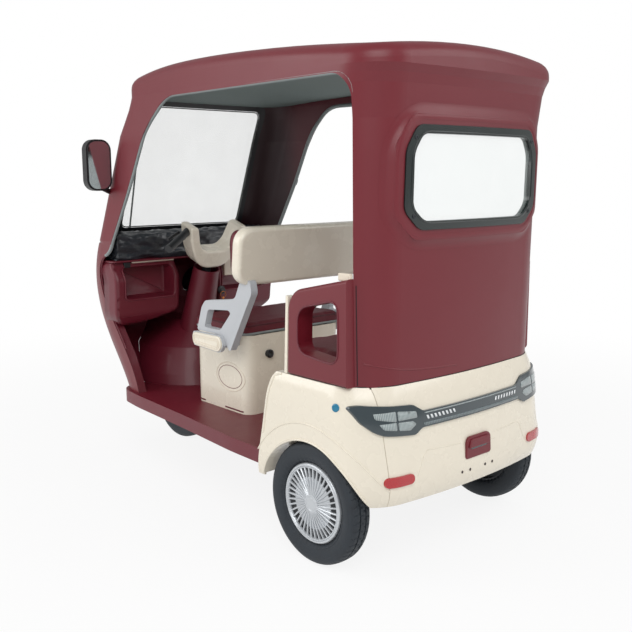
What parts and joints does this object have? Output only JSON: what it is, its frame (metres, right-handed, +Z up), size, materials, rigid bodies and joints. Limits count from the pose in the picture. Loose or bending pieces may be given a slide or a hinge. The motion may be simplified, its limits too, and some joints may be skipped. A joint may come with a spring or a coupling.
{
  "type": "auto rickshaw",
  "caption": "Enclosed electric passenger tricycle with a hard roof, open sides, a driver's box seat, a rear bench and a rear axle drive; the front wheel steers and the seat lid lifts.",
  "frame": {"origin": "on the ground at the middle of the vehicle's length and width", "axes": "+Z up, -Y is the way the vehicle faces, +X is its left side"},
  "size_m": [1.132, 2.0409, 1.704],
  "materials": {
    "seat_maroon": "padded vinyl",
    "cream_panel": "gloss moulded panel",
    "battery_grey": "plain case",
    "maroon_liner": "grained moulded plastic",
    "frame_paint": "black paint",
    "dash_black": "grained plastic",
    "motor_alu": "cast housing",
    "mudguard_black": "moulded plastic",
    "wheel_black": "satin paint",
    "tyre": "moulded rubber",
    "grip_black": "moulded rubber",
    "lamp_clear": "clear lens",
    "headliner": "moulded lining",
    "mirror_glass": "mirror glass",
    "mirror_black": "gloss plastic",
    "maroon_panel": "satin moulded panel",
    "cover_silver": "silver moulded plastic",
    "glass": "clear glass",
    "frame_black": "gloss black moulding",
    "reflector_red": "prismatic red lens",
    "bracket_grey": "satin grey moulding",
    "black_plastic": "moulded plastic",
    "lamp_smoke": "smoked lens",
    "wiper_black": "satin black"
  },
  "bodies": {
    "body": {"backrest_pad": "seat_maroon", "backrest_shell": "cream_panel", "battery_pack": "battery_grey", "bench_backrest": "seat_maroon", "bench_base": "maroon_liner", "bench_cushion": "seat_maroon", "chassis_frame": "frame_paint", "column_cover": "maroon_liner", "dash_pad": "dash_black", "dash_panel": "maroon_liner", "drive_motor": "motor_alu", "fender_left": "cream_panel", "fender_right": "cream_panel", "floor_pan": "maroon_liner", "headlamp_left": "lamp_clear", "headlamp_right": "lamp_clear", "headliner": "headliner", "mirror_glass_left": "mirror_glass", "mirror_glass_right": "mirror_glass", "mirror_left": "mirror_black", "mirror_right": "mirror_black", "nose_cowl": "cream_panel", "plate_lamp": "maroon_panel", "rear_axle": "frame_paint", "rear_tub": "cream_panel", "rear_wall": "maroon_panel", "rear_window": "glass", "rear_window_frame": "frame_black", "reflector_left": "reflector_red", "reflector_right": "reflector_red", "roof_shell": "maroon_panel", "seat_box": "cream_panel", "seat_bracket_left": "bracket_grey", "seat_bracket_right": "bracket_grey", "seat_lock": "black_plastic", "side_panel_left": "maroon_panel", "side_panel_right": "maroon_panel", "spring_left": "frame_paint", "spring_right": "frame_paint", "tail_lamp": "lamp_smoke", "windscreen": "glass", "windscreen_frame": "frame_black"},
    "steering": {"fork": "frame_paint", "front_mudguard": "mudguard_black", "grip_left": "grip_black", "grip_right": "grip_black", "handlebar_cover": "cream_panel"},
    "front_wheel": {"front_rim": "wheel_black", "front_tyre": "tyre"},
    "rear_left_wheel": {"rear_left_cover": "cover_silver", "rear_left_rim": "wheel_black", "rear_left_tyre": "tyre"},
    "rear_right_wheel": {"rear_right_cover": "cover_silver", "rear_right_rim": "wheel_black", "rear_right_tyre": "tyre"},
    "seat_lid": {"seat_cushion": "seat_maroon"},
    "wiper": {"wiper": "wiper_black"}
  },
  "joints": [
    {"name": "front_steer", "type": "hinge", "parent": "body", "child": "steering", "pos_m": [0, -0.755, 0.205], "axis": [0, 0.3256, 0.9455], "range_deg": [-28, 28]},
    {"name": "front_wheel_spin", "type": "hinge", "parent": "steering", "child": "front_wheel", "pos_m": [0, -0.755, 0.205], "axis": [1, 0, 0], "continuous": true},
    {"name": "rear_left_spin", "type": "hinge", "parent": "body", "child": "rear_left_wheel", "pos_m": [0.438, 0.716, 0.205], "axis": [1, 0, 0], "continuous": true},
    {"name": "rear_right_spin", "type": "hinge", "parent": "body", "child": "rear_right_wheel", "pos_m": [-0.438, 0.716, 0.205], "axis": [1, 0, 0], "continuous": true},
    {"name": "seat_lid_tilt", "type": "hinge", "parent": "body", "child": "seat_lid", "pos_m": [0, -0.278, 0.6403], "axis": [1, 0, 0], "range_deg": [0, 60]},
    {"name": "wiper_sweep", "type": "hinge", "parent": "body", "child": "wiper", "pos_m": [0.255, -0.7565, 1.018], "axis": [0, -0.9231, 0.3846], "range_deg": [-75, 0]}
  ]
}
